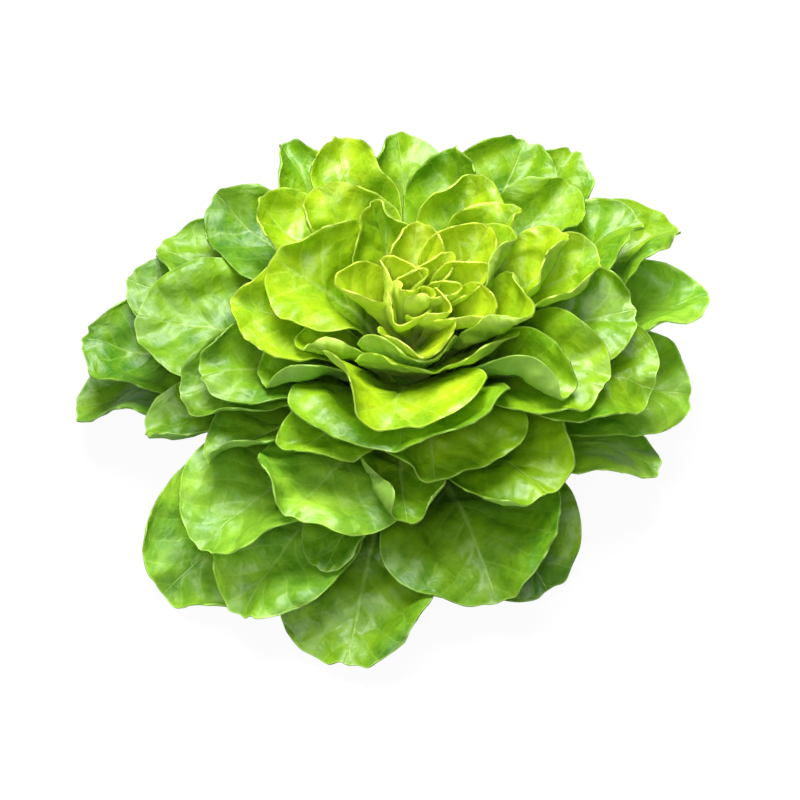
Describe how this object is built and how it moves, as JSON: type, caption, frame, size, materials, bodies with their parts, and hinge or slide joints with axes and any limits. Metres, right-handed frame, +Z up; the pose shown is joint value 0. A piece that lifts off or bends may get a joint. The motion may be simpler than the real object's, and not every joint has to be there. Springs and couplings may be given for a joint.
{
  "type": "lettuce head",
  "caption": "Head of green round-leaved lettuce on its short cut stem: broad waved leaves open outwards in layers round a pale, tighter heart.",
  "frame": {"origin": "centre of the flat cut face under the stem, which the head stands on", "axes": "+Z up along the stem through the heart, -Y towards the side that the picture shows, +X to that side's right"},
  "size_m": [0.2816, 0.2654, 0.1136],
  "materials": {
    "stem": "pale green-white cut stem, moist and smooth",
    "outer_leaf": "dark green leaf, soft gloss on the inner face, matt blue-green outer face",
    "middle_leaf": "mid green leaf, soft gloss on the inner face, matt paler outer face",
    "inner_leaf": "bright yellow-green leaf, soft gloss",
    "heart": "pale yellow-green young leaves, soft gloss"
  },
  "bodies": {
    "root": {"stem": "stem", "heart": "heart", "leaf_01": "outer_leaf", "leaf_02": "outer_leaf", "leaf_03": "outer_leaf", "leaf_04": "outer_leaf", "leaf_05": "outer_leaf", "leaf_06": "outer_leaf", "leaf_07": "outer_leaf", "leaf_08": "outer_leaf", "leaf_09": "outer_leaf", "leaf_10": "outer_leaf", "leaf_11": "outer_leaf", "leaf_12": "outer_leaf", "leaf_13": "outer_leaf", "leaf_14": "outer_leaf", "leaf_15": "outer_leaf", "leaf_16": "outer_leaf", "leaf_17": "outer_leaf", "leaf_18": "outer_leaf", "leaf_19": "outer_leaf", "leaf_20": "outer_leaf", "leaf_21": "middle_leaf", "leaf_22": "middle_leaf", "leaf_23": "middle_leaf", "leaf_24": "middle_leaf", "leaf_25": "middle_leaf", "leaf_26": "middle_leaf", "leaf_27": "middle_leaf", "leaf_28": "middle_leaf", "leaf_29": "middle_leaf", "leaf_30": "middle_leaf", "leaf_31": "middle_leaf", "leaf_32": "middle_leaf", "leaf_33": "middle_leaf", "leaf_34": "middle_leaf", "leaf_35": "middle_leaf", "leaf_36": "middle_leaf", "leaf_37": "middle_leaf", "leaf_38": "middle_leaf", "leaf_39": "middle_leaf", "leaf_40": "middle_leaf", "leaf_41": "middle_leaf", "leaf_42": "middle_leaf", "leaf_43": "inner_leaf", "leaf_44": "inner_leaf", "leaf_45": "inner_leaf", "leaf_46": "inner_leaf", "leaf_47": "inner_leaf", "leaf_48": "inner_leaf", "leaf_49": "inner_leaf", "leaf_50": "inner_leaf", "leaf_51": "inner_leaf", "leaf_52": "inner_leaf", "leaf_53": "inner_leaf", "leaf_54": "inner_leaf", "leaf_55": "inner_leaf", "leaf_56": "inner_leaf", "leaf_57": "inner_leaf", "leaf_58": "inner_leaf"}
  },
  "joints": []
}
